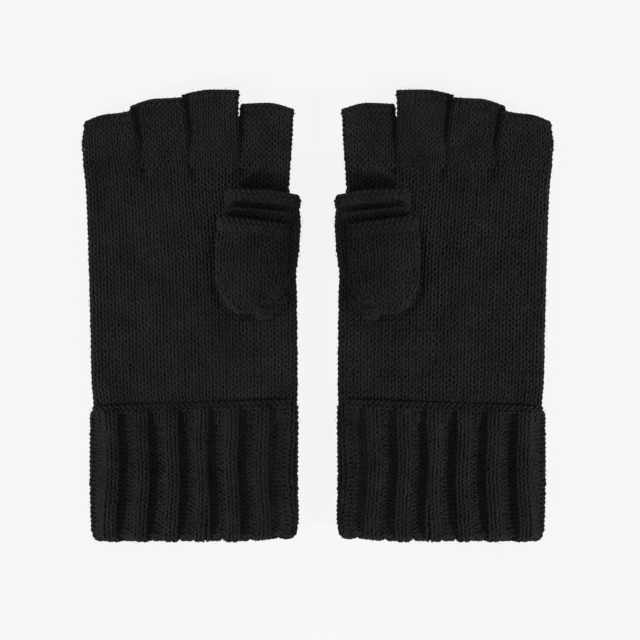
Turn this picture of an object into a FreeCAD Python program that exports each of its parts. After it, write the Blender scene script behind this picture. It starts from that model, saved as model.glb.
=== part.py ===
"""A pair of convertible flip-top mittens, laid flat with the palms up.

+X runs across the pair, +Y towards the finger tips, +Z up. The origin is under the middle of the
pair, on the surface it lies on. One mitten is described by its distances from the plane between the
two, called sides, and the other is its mirror.
"""
import FreeCAD, Part
import math
import os

import Sketcher
from FreeCAD import Placement, Rotation, Vector

# millimetres and degrees
SIZES = {
    # knitted layers, from the surface upwards
    "layer_gap": 0.3,
    "flap_wall": 2.2,
    "hand_wall": 2.3,
    "hand_depth": 9.6,
    "thumb_lift": 2.8,
    "thumb_wall": 2.2,
    "thumb_depth": 9.4,
    "rib_wall": 3.0,
    "seam_radius": 1.4,
    "welt_width": 1.6,
    # turned-up rib cuff
    "cuff_inner_side": 9.0,
    "cuff_outer_side": 107.6,
    "cuff_fold_y": -107.2,
    "cuff_top_y": -43.2,
    # hand, from inside the cuff to the roots of the fingers
    "wrist_y": -52.0,
    "wrist_inner_side": 12.4,
    "wrist_outer_side": 104.2,
    "neck_y": -42.8,
    "heel_y": -40.0,
    "heel_inner_side": 10.0,
    "heel_outer_side": 106.6,
    "palm_y": 7.0,
    "palm_inner_side": 10.2,
    "palm_outer_side": 107.6,
    "knuckle_y": 58.9,
    "knuckle_inner_side": 13.1,
    "knuckle_outer_side": 109.5,
    "crotch_y": 71.2,
    "crotch_inner_side": 12.0,
    "crotch_outer_side": 111.9,
    # roots of the finger sleeves: where each sleeve ends and the next begins
    "root_index_middle": 36.3,
    "root_middle_ring": 60.6,
    "root_ring_pinky": 83.4,
    "sleeve_gap": 0.4,
    # mouths of the finger sleeves
    "index_inner_side": 10.9,
    "index_outer_side": 35.6,
    "index_top_y": 97.8,
    "index_slant": -7.0,
    "middle_inner_side": 37.1,
    "middle_outer_side": 63.9,
    "middle_top_y": 104.8,
    "middle_slant": 3.4,
    "ring_inner_side": 64.8,
    "ring_outer_side": 89.0,
    "ring_top_y": 100.1,
    "ring_slant": 8.8,
    "pinky_inner_side": 89.7,
    "pinky_outer_side": 110.5,
    "pinky_top_y": 93.2,
    "pinky_slant": 11.6,
    # thumb sleeve, folded over the palm, and the gusset that leads into it
    "thumb_base_y": 7.2,
    "thumb_base_inner_side": 11.6,
    "thumb_base_outer_side": 41.0,
    "thumb_rim_y": 57.2,
    "thumb_rim_inner_side": 9.7,
    "thumb_rim_outer_side": 42.2,
    "gusset_centre_y": 2.2,
    "gusset_end_y": 6.9,
    "gusset_inner_side": 12.6,
    "gusset_outer_side": 40.0,
    # thumb cap, folded down on the back of the thumb
    "cap_hinge_y": 47.3,
    "cap_mouth_y": 43.0,
    "cap_tip_y": 1.0,
    "cap_inner_side": 13.0,
    "cap_outer_side": 47.8,
    "cap_tip_radius": 13.0,
    # hood, folded down on the back of the hand
    "hood_mouth_y": 54.0,
    "hood_tip_y": -38.6,
    "hood_inner_side": 13.6,
    "hood_outer_side": 109.0,
    "hood_tip_radius": 38.0,
    "hinge_clearance": 0.4,
}

SIDES = {"right": -1, "left": 1}
FINGERS = {
    "index": ("crotch_inner_side", "root_index_middle"),
    "middle": ("root_index_middle", "root_middle_ring"),
    "ring": ("root_middle_ring", "root_ring_pinky"),
    "pinky": ("root_ring_pinky", "crotch_outer_side"),
}

# heights of the layers, each worked out from the ones below it
HOOD_FRONT_LOW = "0"
HOOD_BACK_LOW = "(Sheet.flap_wall + Sheet.layer_gap)"
HOOD_HINGE_Z = f"({HOOD_BACK_LOW} + Sheet.flap_wall / 2)"
HAND_LOW = f"({HOOD_BACK_LOW} + Sheet.flap_wall + Sheet.layer_gap)"
HAND_HIGH = f"({HAND_LOW} + Sheet.hand_depth)"
CUFF_HIGH = f"({HAND_HIGH} + Sheet.layer_gap + Sheet.rib_wall)"
THUMB_LOW = f"({HAND_HIGH} + Sheet.thumb_lift)"
THUMB_HIGH = f"({THUMB_LOW} + Sheet.thumb_depth)"
CAP_BACK_LOW = f"({THUMB_HIGH} + Sheet.layer_gap)"
CAP_HINGE_Z = f"({CAP_BACK_LOW} + Sheet.flap_wall / 2)"
CAP_FRONT_LOW = f"({CAP_BACK_LOW} + Sheet.flap_wall + Sheet.layer_gap)"

doc = FreeCAD.newDocument("mittens")
sheet = doc.addObject("Spreadsheet::Sheet", "Sheet")
for row, (alias, size) in enumerate(SIZES.items(), start=1):
    sheet.set(f"A{row}", alias)
    sheet.set(f"B{row}", str(size))
    sheet.setAlias(f"B{row}", alias)
doc.recompute()

nodes = []


def value(expression):
    """What an expression of the sheet's cells comes to now."""
    return float(sheet.evalExpression(expression))


def new_body(name):
    body = doc.addObject("PartDesign::Body", name)
    body.Label = name
    nodes.append(body)
    return body


def new_sketch(body, role, offsets):
    """A sketch on one of the body's own planes. offsets: sketch axis to an expression."""
    sketch = body.newObject("Sketcher::SketchObject", f"{body.Name}_sketch")
    plane = next(feature for feature in body.Origin.OriginFeatures if feature.Role == role)
    sketch.AttachmentSupport = [(plane, "")]
    sketch.MapMode = "FlatFace"
    for axis, expression in offsets.items():
        sketch.setExpression(f".AttachmentOffset.Base.{axis}", expression)
    return sketch


def measure(sketch, kind, places, name, expression):
    """Add a dimension to a sketch and bind it to an expression."""
    index = sketch.addConstraint(Sketcher.Constraint(kind, *places, value(expression)))
    sketch.renameConstraint(index, name)
    sketch.setExpression(f"Constraints.{name}", expression)


def draw_oval(sketch, half_width, low, high, name):
    """A flat oval centred on the sketch's upright axis: two level edges and two round ends."""
    reach, bottom, top = value(half_width), value(low), value(high)
    radius, middle = (top - bottom) / 2, (top + bottom) / 2
    centre = reach - radius
    right_end = Part.Circle(Vector(centre, middle, 0), Vector(0, 0, 1), radius)
    left_end = Part.Circle(Vector(-centre, middle, 0), Vector(0, 0, 1), radius)
    lower, right, upper, left = sketch.addGeometry([
        Part.LineSegment(Vector(-centre, bottom, 0), Vector(centre, bottom, 0)),
        Part.ArcOfCircle(right_end, -math.pi / 2, math.pi / 2),
        Part.LineSegment(Vector(centre, top, 0), Vector(-centre, top, 0)),
        Part.ArcOfCircle(left_end, math.pi / 2, 3 * math.pi / 2),
    ])
    for first, second in ((lower, right), (right, upper), (upper, left), (left, lower)):
        sketch.addConstraint(Sketcher.Constraint("Tangent", first, 2, second, 1))
    sketch.addConstraint(Sketcher.Constraint("Horizontal", lower))
    sketch.addConstraint(Sketcher.Constraint("Horizontal", upper))
    end = f"({high} - {low}) / 2"
    measure(sketch, "DistanceX", (-1, 1, right, 3), f"{name}_right", f"{half_width} - {end}")
    measure(sketch, "DistanceX", (left, 3, -1, 1), f"{name}_left", f"{half_width} - {end}")
    measure(sketch, "DistanceY", (-1, 1, right, 3), f"{name}_height", f"({high} + {low}) / 2")
    measure(sketch, "Radius", (right,), f"{name}_radius", end)


def ring_sketch(body, side, station, wall):
    """The section of a knitted tube. station: inner side, outer side, y, low, high, slant."""
    inner_side, outer_side, along, low, high, slant = station
    centre = f"{side} * ({outer_side} + {inner_side}) / 2"
    sketch = new_sketch(body, "XZ_Plane", {"x": centre, "z": f"-({along})"})
    if slant:
        turn = Rotation(Vector(0, 1, 0), -side * value(slant))
        sketch.AttachmentOffset = Placement(sketch.AttachmentOffset.Base, turn)
    half_width = f"(({outer_side}) - ({inner_side})) / 2"
    draw_oval(sketch, half_width, low, high, "outer")
    draw_oval(sketch, f"({half_width} - {wall})", f"({low} + {wall})", f"({high} - {wall})", "inner")
    return sketch


def tube(name, side, wall, *stations):
    """A flat knitted tube through its stations, open at both ends."""
    body = new_body(name)
    sections = [ring_sketch(body, side, station, wall) for station in stations]
    loft = body.newObject("PartDesign::AdditiveLoft", f"{name}_knit")
    loft.Profile = sections[0]
    loft.Sections = sections[1:]
    loft.Ruled = True


def welt(name, side, wall, station):
    """The bound-off edge at a tube's mouth, one welt wide, on its +Y side."""
    body = new_body(name)
    pad = body.newObject("PartDesign::Pad", f"{name}_edge")
    pad.Profile = ring_sketch(body, side, station, wall)
    pad.setExpression("Length", "Sheet.welt_width")
    pad.Reversed = True


def flap(name, side, sides, mouth, tip, corner, low):
    """A flat layer with a straight mouth and a rounded tip that points at the cuff."""
    body = new_body(name)
    inner_side, outer_side = sides
    centre = f"{side} * ({outer_side} + {inner_side}) / 2"
    sketch = new_sketch(body, "XY_Plane", {"x": centre, "z": low})
    half_width = f"({outer_side} - {inner_side}) / 2"
    half, top, bottom, radius = value(half_width), value(mouth), value(tip), value(corner)
    bend = bottom + radius
    right_corner = Part.Circle(Vector(half - radius, bend, 0), Vector(0, 0, 1), radius)
    left_corner = Part.Circle(Vector(radius - half, bend, 0), Vector(0, 0, 1), radius)
    edge, left, left_arc, end, right_arc, right = sketch.addGeometry([
        Part.LineSegment(Vector(half, top, 0), Vector(-half, top, 0)),
        Part.LineSegment(Vector(-half, top, 0), Vector(-half, bend, 0)),
        Part.ArcOfCircle(left_corner, math.pi, 3 * math.pi / 2),
        Part.LineSegment(Vector(radius - half, bottom, 0), Vector(half - radius, bottom, 0)),
        Part.ArcOfCircle(right_corner, -math.pi / 2, 0),
        Part.LineSegment(Vector(half, bend, 0), Vector(half, top, 0)),
    ])
    for first, second in ((edge, left), (right, edge)):
        sketch.addConstraint(Sketcher.Constraint("Coincident", first, 2, second, 1))
    for first, second in ((left, left_arc), (left_arc, end), (end, right_arc), (right_arc, right)):
        sketch.addConstraint(Sketcher.Constraint("Tangent", first, 2, second, 1))
    for direction, line in (("Horizontal", edge), ("Horizontal", end), ("Vertical", right)):
        sketch.addConstraint(Sketcher.Constraint(direction, line))
    sketch.addConstraint(Sketcher.Constraint("Vertical", left))
    sketch.addConstraint(Sketcher.Constraint("Equal", left_arc, right_arc))
    measure(sketch, "DistanceX", (-1, 1, edge, 1), "right_side", half_width)
    measure(sketch, "DistanceX", (edge, 2, -1, 1), "left_side", half_width)
    measure(sketch, "DistanceY", (-1, 1, edge, 1), "mouth", mouth)
    measure(sketch, "DistanceY", (-1, 1, end, 1), "tip", tip)
    measure(sketch, "Radius", (left_arc,), "corner", corner)
    pad = body.newObject("PartDesign::Pad", f"{name}_knit")
    pad.Profile = sketch
    pad.setExpression("Length", "Sheet.flap_wall")


def strip(name, side, sides, along, low):
    """A bound-off edge one welt wide, lying across a flap's mouth."""
    inner_side, outer_side = sides
    box = doc.addObject("Part::Box", name)
    box.Label = name
    box.setExpression("Length", f"{outer_side} - {inner_side}")
    box.setExpression("Width", "Sheet.welt_width")
    box.setExpression("Height", "Sheet.flap_wall")
    box.setExpression(".Placement.Base.x", f"-({outer_side})" if side < 0 else inner_side)
    box.setExpression(".Placement.Base.y", along)
    box.setExpression(".Placement.Base.z", low)
    nodes.append(box)


def seam(name, side, sides, along, height):
    """The picked-up row that a flap turns on: a round ridge along X."""
    inner_side, outer_side = sides
    ridge = doc.addObject("Part::Cylinder", name)
    ridge.Label = name
    ridge.setExpression("Radius", "Sheet.seam_radius")
    ridge.setExpression("Height", f"{outer_side} - {inner_side}")
    ridge.Placement = Placement(Vector(), Rotation(Vector(0, 1, 0), 90))
    ridge.setExpression(".Placement.Base.x", f"-({outer_side})" if side < 0 else inner_side)
    ridge.setExpression(".Placement.Base.y", along)
    ridge.setExpression(".Placement.Base.z", height)
    nodes.append(ridge)


def gusset(name, side):
    """The folded wedge of knit at the thumb's base: a half pipe that opens towards the thumb."""
    body = new_body(name)
    first_side = "-Sheet.gusset_outer_side" if side < 0 else "Sheet.gusset_inner_side"
    sketch = new_sketch(body, "YZ_Plane", {"z": first_side})
    low, high = value(HAND_HIGH), value(THUMB_HIGH)
    outer, middle = (high - low) / 2, (high + low) / 2
    inner = outer - value("Sheet.thumb_wall")
    bend, end = value("Sheet.gusset_centre_y"), value("Sheet.gusset_end_y")
    arcs = [
        Part.ArcOfCircle(
            Part.Circle(Vector(bend, middle, 0), Vector(0, 0, 1), radius), math.pi / 2, 3 * math.pi / 2
        )
        for radius in (outer, inner)
    ]
    outer_arc, inner_arc = sketch.addGeometry(arcs)
    legs = []
    for height in (middle + outer, middle + inner, middle - inner, middle - outer):
        leg = Part.LineSegment(Vector(bend, height, 0), Vector(end, height, 0))
        legs.append(sketch.addGeometry(leg))
    for line, arc, place in (
        (legs[0], outer_arc, 1), (legs[3], outer_arc, 2), (legs[1], inner_arc, 1), (legs[2], inner_arc, 2)
    ):
        sketch.addConstraint(Sketcher.Constraint("Tangent", line, 1, arc, place))
    for upper, lower in ((legs[0], legs[1]), (legs[2], legs[3])):
        places = [sketch.getPoint(upper, 2), sketch.getPoint(lower, 2)]
        closing = sketch.addGeometry(Part.LineSegment(*places))
        sketch.addConstraint(Sketcher.Constraint("Coincident", upper, 2, closing, 1))
        sketch.addConstraint(Sketcher.Constraint("Coincident", closing, 2, lower, 2))
        sketch.addConstraint(Sketcher.Constraint("Vertical", closing))
    sketch.addConstraint(Sketcher.Constraint("Coincident", outer_arc, 3, inner_arc, 3))
    sketch.addConstraint(Sketcher.Constraint("Horizontal", legs[0]))
    measure(sketch, "DistanceX", (-1, 1, outer_arc, 3), "centre_y", "Sheet.gusset_centre_y")
    measure(sketch, "DistanceY", (-1, 1, outer_arc, 3), "centre_z", f"({HAND_HIGH} + {THUMB_HIGH}) / 2")
    measure(sketch, "Radius", (outer_arc,), "outer_radius", f"({THUMB_HIGH} - {HAND_HIGH}) / 2")
    inner_radius = f"({THUMB_HIGH} - {HAND_HIGH}) / 2 - Sheet.thumb_wall"
    measure(sketch, "Radius", (inner_arc,), "inner_radius", inner_radius)
    measure(sketch, "DistanceX", (-1, 1, legs[0], 2), "upper_end", "Sheet.gusset_end_y")
    measure(sketch, "DistanceX", (-1, 1, legs[3], 2), "lower_end", "Sheet.gusset_end_y")
    pad = body.newObject("PartDesign::Pad", f"{name}_knit")
    pad.Profile = sketch
    pad.setExpression("Length", "Sheet.gusset_outer_side - Sheet.gusset_inner_side")


def hand_station(place, along):
    sides = f"Sheet.{place}_inner_side", f"Sheet.{place}_outer_side"
    return *sides, f"Sheet.{along}", HAND_LOW, HAND_HIGH, None


def make_hand(hand, side):
    places = ("wrist", "wrist"), ("wrist", "neck"), ("heel", "heel"), ("palm", "palm")
    tops = ("knuckle", "knuckle"), ("crotch", "crotch")
    stations = [hand_station(place, f"{along}_y") for place, along in places + tops]
    tube(f"{hand}_hand_body", side, "Sheet.hand_wall", *stations)


def make_cuff(hand, side):
    """The rib goes down inside to the fold, and comes up outside over the hand."""
    outer = "Sheet.cuff_inner_side", "Sheet.cuff_outer_side"
    inset = "Sheet.rib_wall + Sheet.layer_gap"
    inner = f"{outer[0]} + {inset}", f"{outer[1]} - ({inset})"
    inner_heights = f"({inset})", HAND_HIGH
    inner_top = "Sheet.wrist_y - Sheet.layer_gap"
    tube(
        f"{hand}_cuff_inner", side, "Sheet.rib_wall",
        (*inner, "Sheet.cuff_fold_y", *inner_heights, None),
        (*inner, inner_top, *inner_heights, None),
    )
    tube(
        f"{hand}_cuff_turnback", side, "Sheet.rib_wall",
        (*outer, "Sheet.cuff_fold_y", "0", CUFF_HIGH, None),
        (*outer, "Sheet.cuff_top_y - Sheet.welt_width", "0", CUFF_HIGH, None),
    )
    mouth = *outer, "Sheet.cuff_top_y - Sheet.welt_width", "0", CUFF_HIGH, None
    welt(f"{hand}_cuff_edge", side, "Sheet.rib_wall", mouth)


def make_fingers(hand, side):
    heights = HAND_LOW, HAND_HIGH
    for finger, (inner_root, outer_root) in FINGERS.items():
        root_sides = f"Sheet.{inner_root} + Sheet.sleeve_gap / 2", f"Sheet.{outer_root} - Sheet.sleeve_gap / 2"
        root = *root_sides, "Sheet.crotch_y + Sheet.layer_gap", *heights, None
        mouth_sides = f"Sheet.{finger}_inner_side", f"Sheet.{finger}_outer_side"
        mouth = *mouth_sides, f"Sheet.{finger}_top_y", *heights, f"Sheet.{finger}_slant"
        tube(f"{hand}_{finger}_sleeve", side, "Sheet.hand_wall", root, mouth)
        welt(f"{hand}_{finger}_edge", side, "Sheet.hand_wall", mouth)


def make_thumb(hand, side):
    gusset(f"{hand}_thumb_gusset", side)
    heights = THUMB_LOW, THUMB_HIGH
    base_sides = "Sheet.thumb_base_inner_side", "Sheet.thumb_base_outer_side"
    rim_sides = "Sheet.thumb_rim_inner_side", "Sheet.thumb_rim_outer_side"
    base = *base_sides, "Sheet.thumb_base_y", *heights, None
    rim = *rim_sides, "Sheet.thumb_rim_y", *heights, None
    tube(f"{hand}_thumb_sleeve", side, "Sheet.thumb_wall", base, rim)
    welt(f"{hand}_thumb_edge", side, "Sheet.thumb_wall", rim)


def make_cap(hand, side):
    sides = "Sheet.cap_inner_side", "Sheet.cap_outer_side"
    shape = "Sheet.cap_tip_y", "Sheet.cap_tip_radius"
    hinge_edge = "Sheet.cap_hinge_y - Sheet.seam_radius - Sheet.hinge_clearance"
    seam(f"{hand}_cap_seam", side, sides, "Sheet.cap_hinge_y", CAP_HINGE_Z)
    flap(f"{hand}_cap_back", side, sides, hinge_edge, *shape, CAP_BACK_LOW)
    flap(f"{hand}_cap_front", side, sides, "Sheet.cap_mouth_y", *shape, CAP_FRONT_LOW)
    strip(f"{hand}_cap_edge", side, sides, "Sheet.cap_mouth_y", CAP_FRONT_LOW)


def make_hood(hand, side):
    sides = "Sheet.hood_inner_side", "Sheet.hood_outer_side"
    shape = "Sheet.hood_tip_y", "Sheet.hood_tip_radius"
    hinge_edge = "Sheet.knuckle_y - Sheet.seam_radius - Sheet.hinge_clearance"
    seam(f"{hand}_hood_seam", side, sides, "Sheet.knuckle_y", HOOD_HINGE_Z)
    flap(f"{hand}_hood_back", side, sides, hinge_edge, *shape, HOOD_BACK_LOW)
    flap(f"{hand}_hood_front", side, sides, "Sheet.hood_mouth_y", *shape, HOOD_FRONT_LOW)
    strip(f"{hand}_hood_edge", side, sides, "Sheet.hood_mouth_y", HOOD_FRONT_LOW)


for hand, side in SIDES.items():
    for make in (make_hand, make_cuff, make_fingers, make_thumb, make_cap, make_hood):
        make(hand, side)
doc.recompute()

failed = [item.Name for item in doc.Objects if {"Invalid", "Error"} & set(item.State)]
if failed:
    raise RuntimeError(f"objects that did not compute: {failed}")

os.makedirs("parts", exist_ok=True)
for node in nodes:
    shape = node.Shape
    if shape.isNull() or not shape.isValid() or len(shape.Solids) != 1:
        raise RuntimeError(f"{node.Label} is not one valid solid")
    print(f"{node.Label}: {shape.Volume / 1000:.2f} cm3")
    shape.exportStep(f"parts/{node.Label}.step")
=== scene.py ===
"""Convertible flip-top mittens: the knit, stitch by stitch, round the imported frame.

Every knitted piece is made of closed strands of yarn, one per row of stitches, over a thin closed
lining. One mitten is worked out on the +X side, in millimetres, and the other is its mirror.
"""
import math

import bpy
import numpy as np
from mathutils import Matrix, Vector


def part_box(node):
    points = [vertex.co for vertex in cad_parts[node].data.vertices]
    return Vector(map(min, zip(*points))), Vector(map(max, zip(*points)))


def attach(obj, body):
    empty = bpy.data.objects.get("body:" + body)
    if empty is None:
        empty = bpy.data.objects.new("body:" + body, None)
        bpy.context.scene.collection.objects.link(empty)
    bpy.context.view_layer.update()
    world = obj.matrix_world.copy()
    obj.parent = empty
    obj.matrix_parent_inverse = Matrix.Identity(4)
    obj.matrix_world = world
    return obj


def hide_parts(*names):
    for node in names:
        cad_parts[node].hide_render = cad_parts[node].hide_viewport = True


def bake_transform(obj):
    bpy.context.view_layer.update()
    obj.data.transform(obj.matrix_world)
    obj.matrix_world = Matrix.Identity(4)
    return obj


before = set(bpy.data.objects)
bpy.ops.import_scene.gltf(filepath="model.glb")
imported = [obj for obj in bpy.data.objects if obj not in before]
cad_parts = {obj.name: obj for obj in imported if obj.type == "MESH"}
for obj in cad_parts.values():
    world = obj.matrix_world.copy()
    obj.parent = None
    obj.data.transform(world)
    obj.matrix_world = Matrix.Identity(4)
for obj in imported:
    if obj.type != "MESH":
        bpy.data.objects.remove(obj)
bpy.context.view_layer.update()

MM = 0.001
HANDS = {"left": 1, "right": -1}

# the yarn and its stitches, in millimetres: a wale is a column of stitches and a course is a row
WALE = 3.42
COURSE = 2.44
RIB_COURSE = 2.19
YARN = 0.66
LOOP_HEIGHT = 1.98
LOOP_LEAN = 0.245
LOOP_DEPTH = 0.52
PLY_TWIST = 2.6
PLY_RELIEF = 0.09
SKIN = LOOP_DEPTH + YARN
# how much the stitches differ: in lean and height as shares, aside in wales, in depth in millimetres
LEAN_SPREAD = 0.12
ASIDE_SPREAD = 0.036
HEIGHT_SPREAD = 0.10
DEPTH_SPREAD = 0.09
# points along one stitch and round a strand
STEPS = 10
AROUND = 5
# the loose fibres: radius, the shortest and longest reach, and how many there are per stitch
HAIR = 0.045
HAIR_LENGTH = (0.9, 2.9)
FUZZ = 0.95
rng = np.random.default_rng(7)
hair_rng = np.random.default_rng(11)


def corners(node):
    """A CAD node's lowest and highest corners, in millimetres."""
    low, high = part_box(node)
    return np.array(low) / MM, np.array(high) / MM


def put(name, data):
    """A new object in the scene."""
    made = bpy.data.objects.new(name, data)
    bpy.context.scene.collection.objects.link(made)
    return made


# ---------------------------------------------------------------------------------- yarn and mesh

def smooth(low, high, value):
    """0 below low, 1 above high, and a smooth step between."""
    share = np.clip((value - low) / (high - low), 0, 1)
    return share * share * (3 - 2 * share)


def wander(shape, size, cycles=3):
    """Slow random drift along the last axis, which closes on itself."""
    rows, columns = shape
    along = np.linspace(0, 2 * math.pi, columns, endpoint=False)
    drift = np.zeros(shape)
    for k in range(1, cycles + 1):
        swing, phase = rng.normal(size=(2, rows, 1))
        drift += swing * np.sin(k * along + phase * math.pi) / k
    return size * drift


def per_stitch(rows, wales, steps, size):
    """A random value for each stitch, blended along its row."""
    values = rng.normal(size=(rows, wales)) * size
    place = np.arange(wales * steps) / steps
    first = np.floor(place).astype(int) % wales
    share = smooth(0, 1, place % 1)
    return values[:, first] * (1 - share) + values[:, (first + 1) % wales] * share


def tubes(centre, outward, radius, closed=True, around=AROUND):
    """Round strands along rows of points: vertices, faces and the twist of the ply at each vertex."""
    rows, points, _ = centre.shape
    if closed:
        tangent = np.roll(centre, -1, 1) - np.roll(centre, 1, 1)
    else:
        tangent = np.gradient(centre, axis=1)
    tangent /= np.linalg.norm(tangent, axis=2, keepdims=True) + 1e-9
    up = outward - (outward * tangent).sum(2, keepdims=True) * tangent
    up /= np.linalg.norm(up, axis=2, keepdims=True) + 1e-9
    side = np.cross(tangent, up)
    angle = np.arange(around) * 2 * math.pi / around
    step = np.linalg.norm(np.diff(centre, axis=1, append=centre[:, :1]), axis=2)
    length = np.cumsum(step, 1)[..., None]
    ply = np.cos(2 * angle + 2 * math.pi * length / PLY_TWIST)
    size = (np.asarray(radius) * np.ones((rows, points)))[..., None] * (1 + PLY_RELIEF * ply)
    ring = size[..., None] * (
        np.cos(angle)[:, None] * up[:, :, None] + np.sin(angle)[:, None] * side[:, :, None]
    )
    vertices = (centre[:, :, None] + ring).reshape(-1, 3)
    index = np.arange(rows * points * around).reshape(rows, points, around)
    here = index if closed else index[:, :-1]
    there = np.roll(index, -1, 1) if closed else index[:, 1:]
    faces = np.stack([here, there, np.roll(there, -1, 2), np.roll(here, -1, 2)], -1).reshape(-1, 4)
    if not closed:
        starts, ends = index[:, 0], index[:, -1]
        caps = [cap for row in range(rows) for cap in (starts[row][::-1], ends[row])]
        return vertices, faces, ply.reshape(-1), caps
    return vertices, faces, ply.reshape(-1), []


class Knit:
    """The arrays of one piece while it is made: strands in slot 0 and lining in slot 1."""

    def __init__(self):
        self.vertices, self.faces, self.slots, self.ply, self.caps = [], [], [], [], []
        self.count = 0

    def add(self, vertices, faces, slot, ply=None, caps=()):
        self.vertices.append(vertices)
        self.faces.append(faces + self.count)
        self.slots.append(np.full(len(faces), slot))
        self.ply.append(np.zeros(len(vertices)) if ply is None else ply)
        self.caps += [(cap + self.count, slot) for cap in caps]
        self.count += len(vertices)

    def strands(self, centre, outward, radius=YARN, closed=True, around=AROUND):
        vertices, faces, ply, caps = tubes(centre, outward, radius, closed, around)
        self.add(vertices, faces, 0, ply, caps)

    def hairs(self, centre, outward, count):
        """Loose fibres that stand out of the yarn at random places and bend over."""
        rows, points, _ = centre.shape
        row, point = hair_rng.integers(0, rows, count), hair_rng.integers(0, points, count)
        root, up = centre[row, point][:, None], outward[row, point][:, None]
        aside = hair_rng.normal(size=(count, 1, 3))
        aside -= (aside * up).sum(2, keepdims=True) * up
        aside /= np.linalg.norm(aside, axis=2, keepdims=True) + 1e-9
        reach = hair_rng.uniform(*HAIR_LENGTH, (count, 1, 1))
        done = np.linspace(0, 1, 4)[None, :, None]
        fibre = root + up * (0.35 + reach * (0.75 * done - 0.3 * done**2))
        fibre += aside * reach * (0.2 * done + 0.6 * done**2)
        fibre[..., 2] = np.maximum(fibre[..., 2], 2 * HAIR)
        self.strands(fibre, np.broadcast_to(up, fibre.shape), HAIR, False, 3)

    def mesh(self, name, side):
        """The piece's mesh in metres, mirrored for the -X hand and pressed flat where it lies on z = 0."""
        vertices = np.concatenate(self.vertices) * MM * np.array([side, 1, 1])
        vertices[:, 2] = np.maximum(vertices[:, 2], 0)
        faces = np.concatenate(self.faces)
        caps = [list(cap) for cap, _ in self.caps]
        if side > 0:
            faces, caps = faces[:, ::-1], [cap[::-1] for cap in caps]
        mesh = bpy.data.meshes.new(name)
        loops = np.concatenate([faces.reshape(-1)] + [np.array(cap) for cap in caps])
        sizes = np.concatenate([np.full(len(faces), 4), [len(cap) for cap in caps]]).astype(int)
        mesh.vertices.add(len(vertices))
        mesh.vertices.foreach_set("co", vertices.astype(np.float32).reshape(-1))
        mesh.loops.add(len(loops))
        mesh.loops.foreach_set("vertex_index", loops.astype(np.int32))
        mesh.polygons.add(len(sizes))
        starts = np.concatenate([[0], np.cumsum(sizes)[:-1]])
        mesh.polygons.foreach_set("loop_start", starts.astype(np.int32))
        slots = np.concatenate(self.slots + [np.array([slot for _, slot in self.caps])])
        mesh.polygons.foreach_set("material_index", slots.astype(np.int32))
        mesh.polygons.foreach_set("use_smooth", np.ones(len(sizes), bool))
        attribute = mesh.attributes.new("ply", "FLOAT", "POINT")
        attribute.data.foreach_set("value", np.concatenate(self.ply).astype(np.float32))
        mesh.update(calc_edges=True)
        return mesh


# ---------------------------------------------------------------------------------- surfaces

def oval(share, width, height):
    """A flat oval with half width and half height, at a share of the way round it from the middle
    of its inner edge over the top: across, up, and the outward direction there."""
    quarter, flat = math.pi * height / 2, 2 * (width - height)
    share = share % 1.0
    under = share > 0.5
    along = np.where(under, 1 - share, share) * 2 * (2 * quarter + flat)
    first = np.clip(along / height, 0, math.pi / 2)
    level = np.clip(along - quarter, 0, flat)
    last = np.clip((along - quarter - flat) / height, 0, math.pi / 2)
    across = -width + height * (1 - np.cos(first)) + level + height * np.sin(last)
    out, up = -np.cos(first) + np.sin(last), np.sin(first) + np.cos(last) - 1
    flip = np.where(under, -1, 1)
    return across, height * up * flip, out, up * flip


def tube_surface(stations, mouth=(0, 0), tilt=0.0, edge=0.8, shape=None):
    """A function that places a share round and a distance along a flat tube.
    stations: rows of distance along, y, inner side, outer side, low, high, all on the outer skin.
    mouth: how far the far end drops towards its inner and its outer side. tilt: how steeply the
    outer side drops. edge: how thick the folded sides are, as a share of the middle."""
    table = np.array(stations, float)

    def place(share, along):
        y, inner, outer, low, high = (
            np.interp(along, table[:, 0], table[:, k]) for k in range(1, 6)
        )
        width, height = (outer - inner) / 2 - SKIN, (high - low) / 2 - SKIN
        fold = np.minimum(height * edge, width * 0.95)
        across, up, nx, nz = oval(share, width, fold)
        puff = (height - fold) * (1 - (across / width) ** 2)
        up = up + np.sign(nz) * puff * np.abs(nz)
        nx = nx + 2 * (height - fold) * across / width**2 * np.abs(nz)
        done = np.clip(along / table[-1, 0], 0, 1)
        up = up - across * tilt * np.clip(done * 2.5, 0, 1)
        drop_inner, drop_outer = mouth
        beside = np.abs(across / width) ** 1.6
        y = y - beside * np.where(across > 0, drop_outer, drop_inner) * done**1.5
        point = np.stack([(inner + outer) / 2 + across, y, (low + high) / 2 + up], -1)
        normal = np.stack([nx, np.zeros_like(nx), nz], -1)
        normal /= np.linalg.norm(normal, axis=-1, keepdims=True)
        if shape is not None:
            point = shape(point, normal)
        return point, normal

    return place


def raised(place, height):
    """The same surface, held off by a height."""
    def place_off(share, along):
        point, normal = place(share, along)
        return point + normal * height, normal
    return place_off


def loops(rows, wales, steps, upside_down=False, purl=None):
    """Where the yarn of each row runs: its wale, its row, how far it is above the row, and depth."""
    theta = np.arange(wales * steps) * 2 * math.pi / steps
    theta = np.tile(theta, (len(rows), 1))
    turn = -1 if upside_down else 1
    lean = LOOP_LEAN * (1 + per_stitch(len(rows), wales, steps, LEAN_SPREAD))
    wale = theta / (2 * math.pi) + lean * np.sin(2 * theta)
    wale += per_stitch(len(rows), wales, steps, ASIDE_SPREAD)
    height = 1 + per_stitch(len(rows), wales, steps, HEIGHT_SPREAD)
    lift = turn * np.cos(theta) * height
    facing = 1.0 if purl is None else purl(theta / (2 * math.pi))
    depth = -LOOP_DEPTH * np.cos(2 * theta) * facing
    depth = depth + per_stitch(len(rows), wales, steps, DEPTH_SPREAD)
    return wale, np.array(rows, float)[:, None], lift, depth


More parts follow.
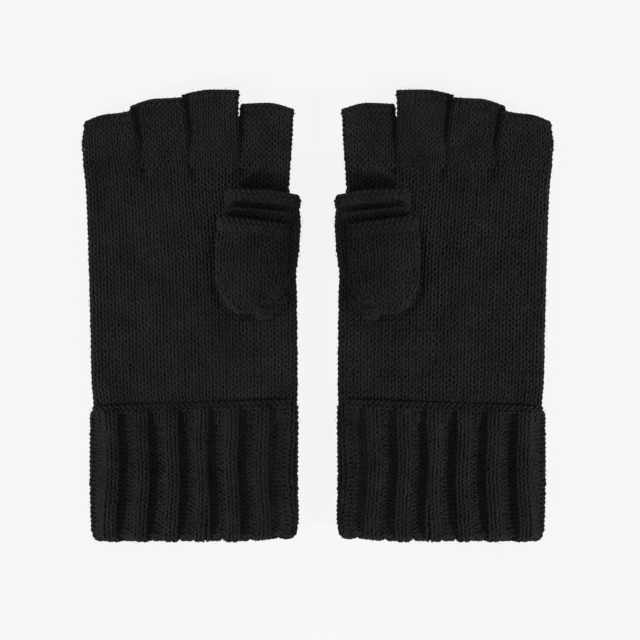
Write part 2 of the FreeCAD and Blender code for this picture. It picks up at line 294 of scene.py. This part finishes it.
def knit(piece, place, rows, wales, course=COURSE, phase=0.0, upside_down=False, purl=None,
         relief=None, loop=LOOP_HEIGHT, radius=YARN, steps=STEPS, fuzz=FUZZ):
    """Lay one strand per row on a surface that place() gives. rows are distances along. phase shifts
    the stitches by wales. purl and relief say which stitches face in and how far they stand out."""
    wale, along, lift, depth = loops(rows, wales, steps, upside_down, purl)
    wale = wale + wander((len(rows), wales * steps), 0.02)
    along = along + lift * loop + wander((len(rows), wales * steps), 0.05)
    share = (wale + phase) / wales
    if relief is not None:
        share, more = relief(share, along)
        depth = depth + more
    point, normal = place(share, along)
    centre = point + normal * depth[..., None]
    piece.strands(centre, normal, radius)
    piece.hairs(centre, normal, round(len(rows) * wales * fuzz))


def line(piece, place, start, end, count, around, outer=-0.35, inner=-1.5, relief=None):
    """A thin closed lining under the strands, open where the tube is open."""
    share = np.arange(around) / around
    along = np.linspace(start, end, count)
    share, along = np.meshgrid(share, along)
    more = 0
    if relief is not None:
        share, more = relief(share, along)
        more = more[..., None]
    point, normal = place(share, along)
    skins = np.stack([point + normal * (outer + more), point + normal * (inner + more)])
    index = np.arange(2 * count * around).reshape(2, count, around)
    right = np.roll(index, -1, 2)
    faces = [
        np.stack([index[0, :-1], right[0, :-1], right[0, 1:], index[0, 1:]], -1),
        np.stack([index[1, 1:], right[1, 1:], right[1, :-1], index[1, :-1]], -1),
        np.stack([index[0, 0], index[1, 0], right[1, 0], right[0, 0]], -1)[None],
        np.stack([index[0, -1], right[0, -1], right[1, -1], index[1, -1]], -1)[None],
    ]
    piece.add(skins.reshape(-1, 3), np.concatenate([f.reshape(-1, 4) for f in faces]), 1)


def braid(piece, place, along, crossings, width=1.45, height=0.55, radius=0.62, lift=0.25, closed=True):
    """A bound-off edge: three strands plaited round a mouth, or straight across if not closed."""
    count = crossings * 8
    turns = round(crossings / 3)
    share = np.arange(count) / (count if closed else count - 1)
    phase = np.tile(share * 2 * math.pi * turns, (3, 1)) + np.arange(3)[:, None] * 2 * math.pi / 3
    point, normal = place(np.tile(share, (3, 1)), along + width * np.sin(phase))
    centre = point + normal * (lift + height * np.sin(2 * phase))[..., None]
    piece.strands(centre, normal, radius, closed)
    piece.hairs(centre, normal, 3 * crossings)


# ---------------------------------------------------------------------------------- materials

def node(tree, kind, **inputs):
    """A new node with its inputs set."""
    made = tree.nodes.new(kind)
    for name, value in inputs.items():
        made.inputs[name.replace("_", " ")].default_value = value
    return made


def scaled(tree, value, factor, plus):
    """value * factor + plus, of two sockets and a number."""
    made = node(tree, "ShaderNodeMath")
    made.operation = "MULTIPLY_ADD"
    made.inputs[1].default_value = factor
    tree.links.new(value, made.inputs[0])
    tree.links.new(plus, made.inputs[2])
    return made.outputs[0]


def wool(name, dark, light, sheen, ply_bump):
    """Black wool yarn: two close shades in patches, fine fibres, and painted shade in the ply's grooves,
    so that its ridges are lighter.
    """
    material = bpy.data.materials.new(name)
    material.use_nodes = True
    tree = material.node_tree
    tree.nodes.clear()
    link = tree.links.new
    place = tree.nodes.new("ShaderNodeTexCoord").outputs["Object"]
    patches = node(tree, "ShaderNodeTexNoise", Scale=90.0, Detail=3.0)
    fibres = node(tree, "ShaderNodeTexNoise", Scale=2600.0, Detail=4.0, Roughness=0.7)
    for texture in (patches, fibres):
        link(place, texture.inputs["Vector"])
    ply = tree.nodes.new("ShaderNodeAttribute")
    ply.attribute_name = "ply"
    # painted shade: the ply's grooves are darker and its ridges lighter in colour, added to the fibres'
    # random tone
    strands = scaled(tree, ply.outputs["Fac"], 0.16, fibres.outputs["Fac"])
    tone_and_painted_ply_shade = scaled(tree, patches.outputs["Fac"], 0.5, strands)
    ramp = tree.nodes.new("ShaderNodeValToRGB")
    ramp.color_ramp.elements[0].position = 0.55
    ramp.color_ramp.elements[0].color = (*dark, 1)
    ramp.color_ramp.elements[1].position = 1.0
    ramp.color_ramp.elements[1].color = (*light, 1)
    link(tone_and_painted_ply_shade, ramp.inputs["Fac"])
    shader = node(tree, "ShaderNodeBsdfPrincipled", Roughness=0.88, IOR=1.4)
    shader.inputs["Specular IOR Level"].default_value = 0.08
    shader.inputs["Sheen Weight"].default_value = sheen
    shader.inputs["Sheen Roughness"].default_value = 0.45
    shader.inputs["Sheen Tint"].default_value = (0.55, 0.55, 0.62, 1)
    link(ramp.outputs["Color"], shader.inputs["Base Color"])
    ridges = node(tree, "ShaderNodeBump", Strength=0.5, Distance=ply_bump)
    link(ply.outputs["Fac"], ridges.inputs["Height"])
    hairs = node(tree, "ShaderNodeBump", Strength=0.6, Distance=0.00012)
    link(fibres.outputs["Fac"], hairs.inputs["Height"])
    link(ridges.outputs["Normal"], hairs.inputs["Normal"])
    link(hairs.outputs["Normal"], shader.inputs["Normal"])
    output = tree.nodes.new("ShaderNodeOutputMaterial")
    link(shader.outputs["BSDF"], output.inputs["Surface"])
    return material


YARN_BLACK = wool("black_wool_yarn", dark=(0.0062, 0.0056, 0.0062), light=(0.0168, 0.0150, 0.0166),
                  sheen=0.015, ply_bump=0.0002)
# the lining is painted darker than the yarn: painted shade in the gaps between the stitches, where it
# shows through
LINING_PAINTED_SHADE = wool("black_wool_lining_painted_shade", dark=(0.003, 0.0026, 0.003), light=(0.007, 0.006, 0.007),
                    sheen=0.005, ply_bump=0.0001)


def finish_pieces(name, piece, replaced, ride=None):
    """Make a piece for each hand, put it on its body, or fix it where it lies if it has none, and hide the
    CAD nodes it stands for."""
    for hand, side in HANDS.items():
        mesh = piece.mesh(f"{hand}_{name}", side)
        made = put(f"{hand}_{name}", mesh)
        mesh.materials.append(YARN_BLACK)
        mesh.materials.append(LINING_PAINTED_SHADE)
        if ride:
            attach(made, f"{hand}_{ride}")
        else:
            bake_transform(made)
        if replaced:
            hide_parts(*[f"{hand}_{node_name}" for node_name in replaced])


# ---------------------------------------------------------------------------------- the hand

hand_low, hand_high = corners("left_hand_body")
cuff_low, cuff_high = corners("left_cuff_turnback")
cuff_top = corners("left_cuff_edge")[1][1]
bottom, top = hand_low[2], hand_high[2]
crotch = hand_high[1]

# the palm's outline on its outer skin: y, inner side, outer side
PALM = [
    (hand_low[1] - 3, 11.7, 104.9),
    (cuff_top - 4, 10.1, 106.2),
    (cuff_top + 3, 9.4, 107.1),
    (-31.0, 9.1, 107.9),
    (7.0, 9.5, 108.7),
    (26.0, 10.1, 109.2),
    (43.0, 11.4, 109.8),
    (60.0, 13.2, 110.5),
    (crotch + 1, 12.5, 111.8),
]
PALM_WALES = 61
# each face of the palm is this much nearer its middle above this y, and so are the sleeves' roots
PALM_THIN = 0.5
THIN_ABOVE = 50
# where the finger sleeves part, and the depth and half width of the creases and dips below there
PARTINGS = (36.4, 60.6, 83.6)
CREASE_DEPTH, CREASE_WIDTH = 2.8, 2.3
DIP_DEPTH, DIP_WIDTH = 0.9, 4.0
# the patch under the thumb: its middle, half sides and corner radius, and how the palm sinks round it
THUMB_PATCH = ((30.6, 24.0), (17.6, 23.0), 13.5)
HOLLOW_DEPTH, HOLLOW_WIDTH, HOLLOW_AT = 1.2, 2.2, 0.6
SWELL = 0.35


def from_thumb(x, y):
    """How far a place on the palm is from the rounded patch that the thumb and its cap cover."""
    (middle_x, middle_y), (half_x, half_y), corner = THUMB_PATCH
    beside, beyond = np.abs(x - middle_x) - half_x + corner, np.abs(y - middle_y) - half_y + corner
    outside = np.hypot(np.maximum(beside, 0), np.maximum(beyond, 0))
    return outside + np.minimum(np.maximum(beside, beyond), 0) - corner


def crease_palm(point, normal):
    """The palm sinks where the finger sleeves part and round the thumb, and swells here and there."""
    x, y, z = point[..., 0], point[..., 1], point[..., 2]
    face = normal[..., 2]
    near = smooth(crotch - 10, crotch + 1, y)
    for parting in PARTINGS:
        beside = x - (parting - 1.2)
        z = z - face * CREASE_DEPTH * near * np.exp(-((beside / CREASE_WIDTH) ** 2))
        z = z - face * DIP_DEPTH * near * np.exp(-(((beside + 3.5) / DIP_WIDTH) ** 2))
    front = np.maximum(face, 0)
    z = z - front * HOLLOW_DEPTH * np.exp(-(((from_thumb(x, y) - HOLLOW_AT) / HOLLOW_WIDTH) ** 2))
    z = z + face * SWELL * np.sin(x / 9.0 + y / 17.0) * np.sin(y / 13.0 + 1.0)
    return np.stack([x, y, z], -1)


palm_start = PALM[0][0]
palm_stations = [
    (y - palm_start, y, *sides, bottom + PALM_THIN * (y > THIN_ABOVE), top - PALM_THIN * (y > THIN_ABOVE))
    for y, *sides in PALM
]
palm = tube_surface(palm_stations, shape=crease_palm)
palm_length = crotch - palm_start
row_count = math.floor((crotch - hand_low[1]) / COURSE)
palm_rows = palm_length - COURSE * (np.arange(row_count) + 0.5)[::-1]
# the palm's yarn is a little thicker than the fingers', and thins towards them
palm_yarn = 0.7 - 0.07 * smooth(palm_length - 14, palm_length, palm_rows)[:, None]
# the hand is two pieces, so that neither has too many triangles
half = len(palm_rows) // 2
HAND_PARTS = (("lower", slice(0, half), ["hand_body"]), ("upper", slice(half, None), []))
for part, rows, replaced in HAND_PARTS:
    piece = Knit()
    knit(piece, palm, palm_rows[rows], PALM_WALES, radius=palm_yarn[rows])
    line(piece, palm, palm_rows[rows][0] - 1.2, palm_rows[rows][-1] + 2.4, 30, 120)
    finish_pieces(f"hand_knit_{part}", piece, replaced, ride="mitten")

# ---------------------------------------------------------------------------------- the fingers

FINGER_WALES = {"index": 20, "middle": 21, "ring": 20, "pinky": 20}
FINGER_YARN = 0.58
# each sleeve's inner and outer side at its root, half way and at its mouth, the mouth's y, and how
# far the mouth drops at its inner and its outer side
SLEEVES = {
    "index": ((12.5, 38.6), (11.4, 39.3), (10.9, 37.0), 100.3, (3.0, 0.4)),
    "middle": ((36.2, 63.0), (36.9, 65.0), (37.0, 64.8), 106.6, (0.3, 2.2)),
    "ring": ((59.8, 86.5), (61.2, 89.2), (63.2, 89.6), 102.3, (-0.6, 3.4)),
    "pinky": ((82.8, 111.9), (84.8, 112.9), (87.2, 111.2), 95.0, (-1.6, 3.4)),
}
# each sleeve's outer side is tilted down, under the next sleeve, like a shingle
SHINGLE = 0.14
# how far the sleeves' surfaces reach down into the palm, and how far in from the mouth the edge lies
OVERLAP = 6
EDGE_ROW = 0.8
finger_bottom, finger_top = bottom + 1.9, top - 1.5
for finger, (root, middle, mouth, mouth_y, drops) in SLEEVES.items():
    length = mouth_y - crotch
    stations = [
        (-OVERLAP, crotch - OVERLAP, *root, bottom + PALM_THIN, top - PALM_THIN),
        (0, crotch, *root, bottom + PALM_THIN, top - PALM_THIN),
        (length * 0.5, crotch + length * 0.5, *middle, finger_bottom, finger_top),
        (length, mouth_y, *mouth, finger_bottom + 0.3, finger_top - 0.3),
    ]
    sleeve = tube_surface(stations, mouth=drops, tilt=SHINGLE, edge=0.7)
    knit_length = length - 1.2
    count = round(knit_length / COURSE)
    pitch = knit_length / count
    piece = Knit()
    knit(piece, sleeve, pitch * (np.arange(count) + 0.35), FINGER_WALES[finger], radius=FINGER_YARN)
    line(piece, sleeve, -1.6, length - EDGE_ROW, 16, 60)
    finish_pieces(f"{finger}_knit", piece, [f"{finger}_sleeve"], ride="mitten")
    piece = Knit()
    braid(piece, sleeve, length - EDGE_ROW, FINGER_WALES[finger] // 3 * 3)
    finish_pieces(f"{finger}_bound_edge", piece, [f"{finger}_edge"], ride="mitten")

# ---------------------------------------------------------------------------------- the cuff

# two knit wales and two purl wales make one rib and one furrow
RIB_WALES = 56
RIB_REPEAT = 4
RIB_LOOP = 1.95
RIB_RELIEF = 2.1
FOLD_RADIUS = 2.1
INNER_LAYER = 2.3
# the x of the middle rib, how the top edge slants, how far the fold rises at its inner side, and how
# many wales the ribs wander
RIB_CENTRE = 54.9
EDGE_SLANT = 0.038
FOLD_RISE = 1.4
RIB_DRIFT = 0.22
cuff_straight = cuff_top - (cuff_low[1] + SKIN + FOLD_RADIUS)
cuff_width = (cuff_high[0] - cuff_low[0]) / 2 - SKIN - 1.0
cuff_height = (cuff_high[2] - cuff_low[2]) / 2 - SKIN - RIB_RELIEF
cuff_middle = (cuff_low + cuff_high) / 2 + (0.5, 0, 0)
cuff_round = 4 * (cuff_width - cuff_height) + 2 * math.pi * cuff_height
rib_phase = ((RIB_CENTRE - cuff_middle[0]) / cuff_round + 0.25) * RIB_WALES - 0.5


def cuff_place(share, along):
    """From the cuff's top edge down to the fold, round it, and up inside."""
    bend = np.clip((along - cuff_straight) / FOLD_RADIUS, 0, math.pi)
    inside = np.clip(along - cuff_straight - math.pi * FOLD_RADIUS, 0, None)
    inset = FOLD_RADIUS * (1 - np.cos(bend))
    across, up, nx, nz = oval(share, cuff_width - inset, cuff_height - inset)
    slant = across * EDGE_SLANT * (1 - smooth(0, 16, along))
    slant -= FOLD_RISE * smooth(20, 46, -across) * smooth(cuff_straight - 30, cuff_straight, along)
    y = cuff_top - np.clip(along, None, cuff_straight) - FOLD_RADIUS * np.sin(bend) + inside - slant
    point = np.stack([cuff_middle[0] + across, y, cuff_middle[2] + up], -1)
    normal = np.stack([nx * np.cos(bend), -np.sin(bend), nz * np.cos(bend)], -1)
    return point, normal


def rib_wave(wale):
    """1 on a raised rib and -1 in a furrow, with short slopes between."""
    wave = np.sin(2 * math.pi * (wale - 0.5) / RIB_REPEAT + math.pi / 2)
    return np.tanh(2.6 * wave) / math.tanh(2.6)


def rib_relief(share, along):
    """The ribs wander a little, start below the top edge and are flatter round the fold."""
    wale = share * RIB_WALES - rib_phase
    drift = RIB_DRIFT * np.sin(along / 11.0 + 5 * share) * smooth(0, 30, along)
    height = RIB_RELIEF * rib_wave(wale) * smooth(-2.5, 4.0, along)
    height = height * (1 - 0.5 * smooth(cuff_straight - 6, cuff_straight + 3, along))
    return share + drift / RIB_WALES, height


def rib_purl(wale):
    """Knit stitches on the ribs face out, and purl stitches in the furrows face in."""
    return np.clip(rib_wave(wale) * 2.2, -1, 1)


cuff_rows = np.arange(1.9, cuff_straight + math.pi * FOLD_RADIUS + 4.5, RIB_COURSE)
piece = Knit()
knit(piece, cuff_place, cuff_rows, RIB_WALES, phase=rib_phase, upside_down=True, purl=rib_purl,
     relief=rib_relief, loop=RIB_LOOP, fuzz=0.55)
finish_pieces("cuff_rib", piece, ["cuff_turnback"], ride="turned_cuff")
piece = Knit()
line(piece, cuff_place, 0.6, cuff_rows[-1] + 1.0, 44, 240, relief=rib_relief, inner=-1.0)
braid(piece, cuff_place, 0.4, 72, width=1.6)
finish_pieces("cuff_bound_edge", piece, ["cuff_edge"], ride="turned_cuff")

inner_place = raised(cuff_place, -INNER_LAYER)
piece = Knit()
inner_rows = np.arange(7.5, cuff_straight - 1.0, RIB_COURSE)
knit(piece, inner_place, inner_rows, RIB_WALES, phase=rib_phase, purl=rib_purl, relief=rib_relief,
     loop=RIB_LOOP, steps=8)
line(piece, inner_place, 6.5, cuff_straight, 30, 240, outer=-0.1, inner=-0.4, relief=rib_relief)
finish_pieces("cuff_inner_rib", piece, ["cuff_inner"], ride="mitten")

# ---------------------------------------------------------------------------------- the thumb

thumb_low, thumb_high = corners("left_thumb_sleeve")
rim_high = corners("left_thumb_edge")[1]
THUMB_WALES = 26
RIM_YARN = 0.84
thumb_floor, thumb_roof = thumb_low[2] - 0.2, thumb_high[2] - 0.6
thumb_length = rim_high[1] - 0.2 - thumb_low[1]
# the sleeve grows out of the palm over its first third: distance along, sides, low and high
THUMB = [
    (-2, 21.5, 38.0, top + 0.2, top + 4.5),
    (0, 20.0, 39.0, top + 0.2, top + 5.9),
    (4, 16.5, 40.4, top + 0.6, top + 8.0),
    (8, 13.2, 41.6, top + 1.2, top + 9.6),
    (16, 9.4, 43.8, thumb_floor, thumb_roof),
    (30, 7.8, 44.4, thumb_floor, thumb_roof),
    (41, 7.7, 43.8, thumb_floor + 0.3, thumb_roof - 1.4),
    (thumb_length, 9.8, 42.4, thumb_floor + 0.8, thumb_roof - 3.0),
]
thumb_stations = [(along, thumb_low[1] + along, *rest) for along, *rest in THUMB]
thumb = tube_surface(thumb_stations, mouth=(2.4, -0.6))


def thumb_relief(share, along):
    """The rim rolls outwards, and the sleeve sinks under it, where the cap is joined."""
    rim = 1.0 * smooth(thumb_length - 8.5, thumb_length - 4.5, along)
    dip = 0.3 * np.exp(-(((along - thumb_length + 9.8) / 3.0) ** 2))
    front = np.clip(np.sin(2 * math.pi * share), 0, 1)
    return share, rim - dip * front


row_count = math.floor((thumb_length - 4.6) / COURSE) + 1
thumb_rows = thumb_length - 5.2 - COURSE * np.arange(row_count)[::-1]
piece = Knit()
knit(piece, thumb, thumb_rows, THUMB_WALES, relief=thumb_relief)
line(piece, thumb, -1.0, thumb_length - 1.2, 24, 64, relief=thumb_relief)
finish_pieces("thumb_knit", piece, ["thumb_sleeve"], ride="thumb")

rim_place = raised(thumb, 1.2)
piece = Knit()
knit(piece, rim_place, np.array([thumb_length - 3.4]), 22, loop=2.4, radius=RIM_YARN)
braid(piece, rim_place, thumb_length - 1.3, 24, width=1.5, height=0.8, radius=RIM_YARN - 0.02)
finish_pieces("thumb_bound_edge", piece, ["thumb_edge"], ride="thumb")

GUSSET_ROWS = 6
GUSSET_WALES = THUMB_WALES - 9
GUSSET_MIDDLE = 30.6


def gusset_place(share, along):
    """From the thumb's base, bending down into the palm, like an elbow."""
    turn = np.clip(along, 0, 1) * math.pi / 2
    across, up, nx, nz = oval(share, 8.2 + 0.6 * along, 1.9)
    up = up * (1 + 0.5 * along)
    y = thumb_low[1] + 0.4 - 1.2 * along - up * np.sin(turn)
    z = top + 3.0 - 3.4 * along + up * np.cos(turn)
    point = np.stack([GUSSET_MIDDLE + across, y, z], -1)
    normal = np.stack([nx, -nz * np.sin(turn), nz * np.cos(turn)], -1)
    return point, normal


piece = Knit()
for row in range(GUSSET_ROWS):
    knit(piece, gusset_place, np.array([(row + 0.4) / GUSSET_ROWS]), GUSSET_WALES, upside_down=True,
         loop=0.14)
line(piece, gusset_place, -0.1, 1.0, 10, 48)
finish_pieces("gusset_knit", piece, ["thumb_gusset"])

# ---------------------------------------------------------------------------------- pockets

def pocket_surface(mouth, tip, inner, outer, low, high, outline, mouth_slant=0.0, dome=0.0, droop=0.0):
    """A flat pocket, from its straight mouth to its rounded tip, which closes just beyond its length.
    outline: share of the way to the tip, then how far in the inner and the outer side have come.
    dome: how far the top swells. droop: how far the tip hangs down."""
    table = np.array(outline, float)
    length = mouth - tip

    def place(share, along):
        done = np.clip(along / length, 0, 1)
        start = inner + np.interp(done, table[:, 0], table[:, 1])
        end = outer - np.interp(done, table[:, 0], table[:, 2])
        thin = 1 - 0.35 * smooth(0.86, 1.0, done)
        width = np.maximum((end - start) / 2 - SKIN, 0.6)
        height = np.minimum(((high - low) / 2 - SKIN) * thin, width * 0.95)
        beyond = np.clip(along - length, 0, None)
        height = height * (1 - 0.97 * np.clip(beyond / 2, 0, 1))
        across, up, nx, nz = oval(share, width, height)
        y = mouth - along + 0.8 * beyond + across * mouth_slant * (1 - done)
        swell = smooth(0.0, 0.35, 1 - done) * (0.35 + 0.65 * smooth(0.0, 0.4, done))
        front = dome * np.maximum(nz, 0) * swell
        up = up + front * (1 - np.abs(across / width) ** 2.6)
        nx = nx + 2.6 * front * np.sign(across) * np.abs(across / width) ** 1.6 / width
        level = (low + high) / 2 - droop * smooth(0.55, 1.1, done)
        point = np.stack([(start + end) / 2 + across, y, level + up], -1)
        normal = np.stack([nx, np.zeros_like(nx), nz], -1)
        return point, normal / np.linalg.norm(normal, axis=-1, keepdims=True)

    return place


def knit_pocket(piece, place, length, pitch, first=1.2, steps=STEPS, radius=YARN, fuzz=FUZZ):
    """Rows of a pocket, which lose stitches in pairs as it narrows."""
    for along in np.arange(first, length - 0.8, COURSE):
        edge, _ = place(np.linspace(0, 0.5, 40), np.full(40, along))
        half_round = np.linalg.norm(np.diff(edge, axis=0), axis=1).sum()
        wales = max(2 * round(half_round / pitch), 4)
        knit(piece, place, np.array([along]), wales, phase=wales / 4, upside_down=True, steps=steps,
             radius=radius, fuzz=fuzz)
    # the tip is closed by short rows that meet in its middle, with the last row's stitches
    closing = length + np.array([0.4, 0.9, 1.4, 1.9])
    knit(piece, place, closing, wales, phase=wales / 4, loop=0.45, steps=steps)


def seam_place(low, high, y, z, facing, slant=0.0):
    """A function that places a share across and a distance along on a flat straight seam, which
    faces up or down."""
    def place(share, along):
        x = low + (high - low) * share
        point = np.stack([x, y + along + slant * (x - (low + high) / 2), np.full_like(x, z)], -1)
        return point, np.broadcast_to(np.array([0.0, 0.0, facing]), point.shape)
    return place


def join(piece, seam, stitches, points, swing, rise):
    """One strand that winds along a seam, a row away from its plait."""
    share = np.linspace(0, 1, points)[None]
    point, normal = seam(share, -COURSE + swing * np.sin(share * 2 * math.pi * stitches))
    strand = point + normal * rise * np.cos(share * 4 * math.pi * stitches)[..., None]
    piece.strands(strand, normal, YARN, False)


# ---------------------------------------------------------------------------------- the cap

cap_low, cap_high = corners("left_cap_front")
cap_back_low, cap_back_high = corners("left_cap_back")
seam_low, seam_high = corners("left_cap_seam")
CAP_SIDES = (13.7, 48.7)
CAP_WALE = 3.4
CAP_YARN = 0.71
NUB_MIDDLE = 25.6
NUB_YARN = 0.85
# the nub's rings: their radius and height
NUB_RINGS = ((3.5, -0.4), (3.3, 0.9), (2.4, 2.1), (1.1, 2.9))
CAP_OUTLINE = [
    (0.0, 0.7, 2.6), (0.1, 0.4, 1.0), (0.2, 0.1, 0.4), (0.36, 0.0, 0.0), (0.52, 0.0, 0.0),
    (0.65, 0.4, 0.4), (0.79, 2.5, 2.3), (0.9, 6.2, 4.7), (0.96, 9.6, 7.4), (1.0, 12.4, 9.6),
]
cap_mouth = corners("left_cap_edge")[1][1] - 1.0
cap_tip = cap_low[1] + 0.5
cap_length = cap_mouth - cap_tip
cap_floor = cap_back_low[2] - 0.2
cap = pocket_surface(cap_mouth, cap_tip, *CAP_SIDES, cap_floor, cap_high[2],
                     CAP_OUTLINE, mouth_slant=0.135, dome=3.8, droop=4.5)
piece = Knit()
knit_pocket(piece, cap, cap_length, CAP_WALE, first=4.6, radius=CAP_YARN)
line(piece, cap, 0.8, cap_length + 1.8, 26, 64, inner=-1.1)
braid(piece, cap, cap_length - 0.2, 12, width=0.8, height=0.3, radius=0.6)
# the last loops are gathered into a small nub at the tip
gather = np.linspace(0, 2 * math.pi, 40, endpoint=False)
nub_floor = (cap_back_low[2] + cap_high[2]) / 2 - 3.6
for ring, (reach, height) in enumerate(NUB_RINGS):
    wobble = reach * (1 + 0.16 * np.sin(5 * gather + 2 * ring))
    x, y = NUB_MIDDLE + wobble * np.cos(gather), cap_tip + 0.6 + wobble * np.sin(gather)
    nub = np.stack([x, y, nub_floor + height + 0.3 * np.sin(3 * gather)], -1)[None]
    piece.strands(nub, np.broadcast_to((0.0, 0.0, 1.0), nub.shape), NUB_YARN)
# one piece stands for both the back and the front layer, and rides on no body
finish_pieces("cap_knit", piece, ["cap_back", "cap_front"])
piece = Knit()
cap_rim = raised(cap, 0.45)
knit(piece, cap_rim, np.array([2.9]), 24, upside_down=True, loop=2.3, radius=0.74)
braid(piece, cap_rim, 0.9, 24, width=1.5, height=0.75, radius=0.74)
finish_pieces("cap_bound_edge", piece, ["cap_edge"])

cap_seam = seam_place(seam_low[0] - 1, seam_high[0] - 4, (seam_low[1] + seam_high[1]) / 2,
                      cap_back_high[2] - 1.9, 1.0, slant=0.10)
piece = Knit()
braid(piece, cap_seam, 0.5, 15, width=1.6, height=0.6, radius=0.72, closed=False)
finish_pieces("cap_seam_row", piece, ["cap_seam"], ride="thumb")
piece = Knit()
join(piece, cap_seam, 9, 160, swing=1.1, rise=0.45)
finish_pieces("cap_joining_row", piece, [], ride="cap")

# ---------------------------------------------------------------------------------- the hood

hood_low, hood_high = corners("left_hood_front")
hood_floor = hood_low[2] + 0.02
hood_roof = corners("left_hood_back")[1][2] + 0.2
HOOD_OUTLINE = [
    (0.0, 0.0, 0.0), (0.3, 0.4, 0.4), (0.55, 1.5, 1.5), (0.7, 5.0, 5.0), (0.8, 10.0, 10.0),
    (0.88, 16.5, 16.5), (0.94, 23.0, 23.0), (0.98, 29.0, 29.0), (1.0, 33.0, 33.0),
]
hood_mouth = corners("left_hood_edge")[1][1]
hood_length = hood_mouth - hood_low[1]
hood = pocket_surface(hood_mouth, hood_low[1], hood_low[0] - 0.4, hood_high[0] + 0.8,
                      hood_floor, hood_roof, HOOD_OUTLINE)
# one piece stands for both the back layer, on top, and the front layer, and rides on no body
piece = Knit()
knit_pocket(piece, hood, hood_length, WALE, steps=8, radius=0.6, fuzz=0.6)
braid(piece, hood, hood_length - 0.2, 24, width=0.8, height=0.3, radius=0.6)
finish_pieces("hood_knit", piece, ["hood_back", "hood_front"])
piece = Knit()
line(piece, hood, 0.4, hood_length + 1.8, 42, 120, inner=-0.9)
braid(piece, hood, 0.4, 63)
finish_pieces("hood_bound_edge", piece, ["hood_edge"])
hood_seam_low, hood_seam_high = corners("left_hood_seam")
hood_seam = seam_place(hood_seam_low[0], hood_seam_high[0], (hood_seam_low[1] + hood_seam_high[1]) / 2,
                       (hood_seam_low[2] + hood_seam_high[2]) / 2, -1.0)
piece = Knit()
braid(piece, hood_seam, 0, 57, width=0.9, height=0.4, radius=0.6, closed=False)
finish_pieces("hood_seam_row", piece, ["hood_seam"], ride="mitten")
piece = Knit()
join(piece, hood_seam, 28, 600, swing=0.7, rise=0.35)
finish_pieces("hood_joining_rows", piece, [], ride="hood")

# ---------------------------------------------------------------------------------- the stage

floor_mesh = bpy.data.meshes.new("floor")
floor_mesh.from_pydata([(-3, -3, 0), (3, -3, 0), (3, 3, 0), (-3, 3, 0)], [], [(0, 1, 2, 3)])
floor = put("floor", floor_mesh)
paper = bpy.data.materials.new("pale_paper")
paper.use_nodes = True
# the paper glows evenly and hardly reflects, so that the lights and shadows on it stay faint
paper_shader = paper.node_tree.nodes["Principled BSDF"]
paper_shader.inputs["Base Color"].default_value = (0.012, 0.0122, 0.0124, 1)
paper_shader.inputs["Roughness"].default_value = 0.9
paper_shader.inputs["Emission Color"].default_value = (0.971, 0.975, 0.995, 1)
paper_shader.inputs["Emission Strength"].default_value = 0.902
floor_mesh.materials.append(paper)


def light(name, size, energy, target, toward, distance, spread):
    """A soft box that faces target from a direction and a distance, turned so that its height lies as
    near to Y as it can. size: its width, as seen along X on the floor, and its height."""
    lamp = bpy.data.lights.new(name, "AREA")
    lamp.shape = "RECTANGLE"
    lamp.energy = energy
    lamp.spread = math.radians(spread)
    facing = Vector(toward).normalized()
    upright = (Vector((0, 1, 0)) - facing.y * facing).normalized()
    across = upright.cross(facing)
    reach = abs(across.x - across.z * facing.x / facing.z)
    lamp.size, lamp.size_y = size[0] / reach, size[1]
    made = put(name, lamp)
    made.visible_camera = False
    turn = Matrix((across, upright, facing)).transposed().to_4x4()
    made.matrix_world = Matrix.Translation(Vector(target) + distance * facing) @ turn


light("overhead", size=(1.2, 1.2), energy=1.0, target=(0, 0, 0), toward=(0, 0.1, 1.4),
      distance=1.4, spread=180)
# each mitten is lit from its outer side and from the cuff; the two keys overlap between the mittens
KEY_REACH = 0.40
KEY_OVERLAP = 0.022
for hand, side in HANDS.items():
    light(f"{hand}_key", size=(KEY_REACH, 0.55), energy=0.55,
          target=((KEY_REACH / 2 - KEY_OVERLAP) * side, 0, 0), toward=(1.0 * side, -0.62, 0.86),
          distance=0.55, spread=8)
world = bpy.data.worlds.new("studio")
bpy.context.scene.world = world
world.use_nodes = True
sky = world.node_tree
# the camera sees a plain backdrop, and everything else is lit by an even sky
glow = sky.nodes["Background"]
glow.inputs["Color"].default_value = (0.97, 0.98, 1.0, 1)
glow.inputs["Strength"].default_value = 0.78
backdrop = node(sky, "ShaderNodeBackground", Color=(0.924, 0.931, 0.946, 1))
seen = sky.nodes.new("ShaderNodeLightPath")
either = sky.nodes.new("ShaderNodeMixShader")
sky.links.new(seen.outputs["Is Camera Ray"], either.inputs["Fac"])
sky.links.new(glow.outputs["Background"], either.inputs[1])
sky.links.new(backdrop.outputs["Background"], either.inputs[2])
sky.links.new(either.outputs["Shader"], sky.nodes["World Output"].inputs["Surface"])

# a long lens straight above, which sees this width of the palms' level, from just off the middle
VIEW_WIDTH = 0.304
CAMERA_X, CAMERA_Y = 0.0010925, -0.002375
PALM_LEVEL = 0.012
camera_data = bpy.data.cameras.new("camera")
camera_data.sensor_width = 36
camera_data.lens = 220
camera_data.clip_end = 20
camera = put("camera", camera_data)
distance = VIEW_WIDTH * camera_data.lens / camera_data.sensor_width
camera.location = (CAMERA_X, CAMERA_Y, PALM_LEVEL + distance)
camera.rotation_euler = (0, 0, 0)
bpy.context.scene.camera = camera
bpy.context.scene.view_settings.view_transform = "Standard"
